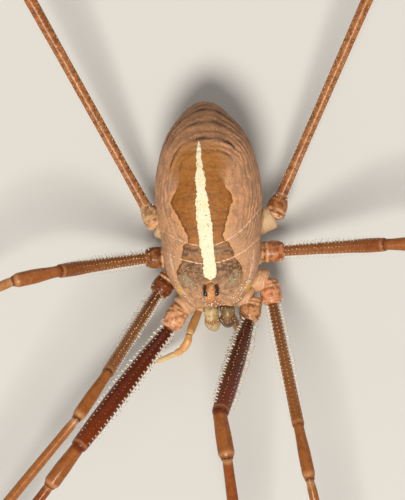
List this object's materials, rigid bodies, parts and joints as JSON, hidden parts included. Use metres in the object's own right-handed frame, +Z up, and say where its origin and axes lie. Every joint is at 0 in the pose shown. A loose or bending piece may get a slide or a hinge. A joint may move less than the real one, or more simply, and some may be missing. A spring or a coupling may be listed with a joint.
{
  "type": "harvestman model",
  "caption": "Still life-size model of a harvestman standing on long thin legs, with an oval fused body, a pale stripe along its back and a small eye mound.",
  "frame": {"origin": "on the floor under the middle of the model's box", "axes": "+Z up, -Y the way the head points, +X the animal's left"},
  "size_m": [0.0608, 0.0816, 0.0083],
  "materials": {
    "carapace": "matt tan cuticle with fine grain and small pale denticles",
    "abdomen": "matt wrinkled tan cuticle with an orange-brown saddle and a cream stripe",
    "eye": "glossy black lens",
    "mouthparts": "pale horn, slightly translucent in life",
    "leg_root": "pinkish orange with pale collars",
    "femur": "satin red-brown with white-tipped denticles in rows",
    "shin": "satin orange-brown with pale joints",
    "foot": "tan-brown, fine and whip-like"
  },
  "bodies": {
    "root": {"prosoma": "carapace", "abdomen": "abdomen", "eye_left": "eye", "eye_right": "eye", "chelicera_left": "mouthparts", "chelicera_right": "mouthparts", "pedipalp_left": "mouthparts", "pedipalp_right": "mouthparts", "leg_1_left_trochanter": "leg_root", "leg_1_left_femur": "femur", "leg_1_left_patella": "shin", "leg_1_left_tibia": "shin", "leg_1_left_metatarsus": "foot", "leg_1_left_tarsus": "foot", "leg_1_right_trochanter": "leg_root", "leg_1_right_femur": "femur", "leg_1_right_patella": "shin", "leg_1_right_tibia": "shin", "leg_1_right_metatarsus": "foot", "leg_1_right_tarsus": "foot", "leg_2_left_trochanter": "leg_root", "leg_2_left_femur": "femur", "leg_2_left_patella": "shin", "leg_2_left_tibia": "shin", "leg_2_left_metatarsus": "foot", "leg_2_left_tarsus": "foot", "leg_2_right_trochanter": "leg_root", "leg_2_right_femur": "femur", "leg_2_right_patella": "shin", "leg_2_right_tibia": "shin", "leg_2_right_metatarsus": "foot", "leg_2_right_tarsus": "foot", "leg_3_left_trochanter": "leg_root", "leg_3_left_femur": "femur", "leg_3_left_patella": "shin", "leg_3_left_tibia": "shin", "leg_3_left_metatarsus": "foot", "leg_3_left_tarsus": "foot", "leg_3_right_trochanter": "leg_root", "leg_3_right_femur": "femur", "leg_3_right_patella": "shin", "leg_3_right_tibia": "shin", "leg_3_right_metatarsus": "foot", "leg_3_right_tarsus": "foot", "leg_4_left_trochanter": "leg_root", "leg_4_left_femur": "femur", "leg_4_left_patella": "shin", "leg_4_left_tibia": "shin", "leg_4_left_metatarsus": "foot", "leg_4_left_tarsus": "foot", "leg_4_right_trochanter": "leg_root", "leg_4_right_femur": "femur", "leg_4_right_patella": "shin", "leg_4_right_tibia": "shin", "leg_4_right_metatarsus": "foot", "leg_4_right_tarsus": "foot"}
  },
  "joints": []
}
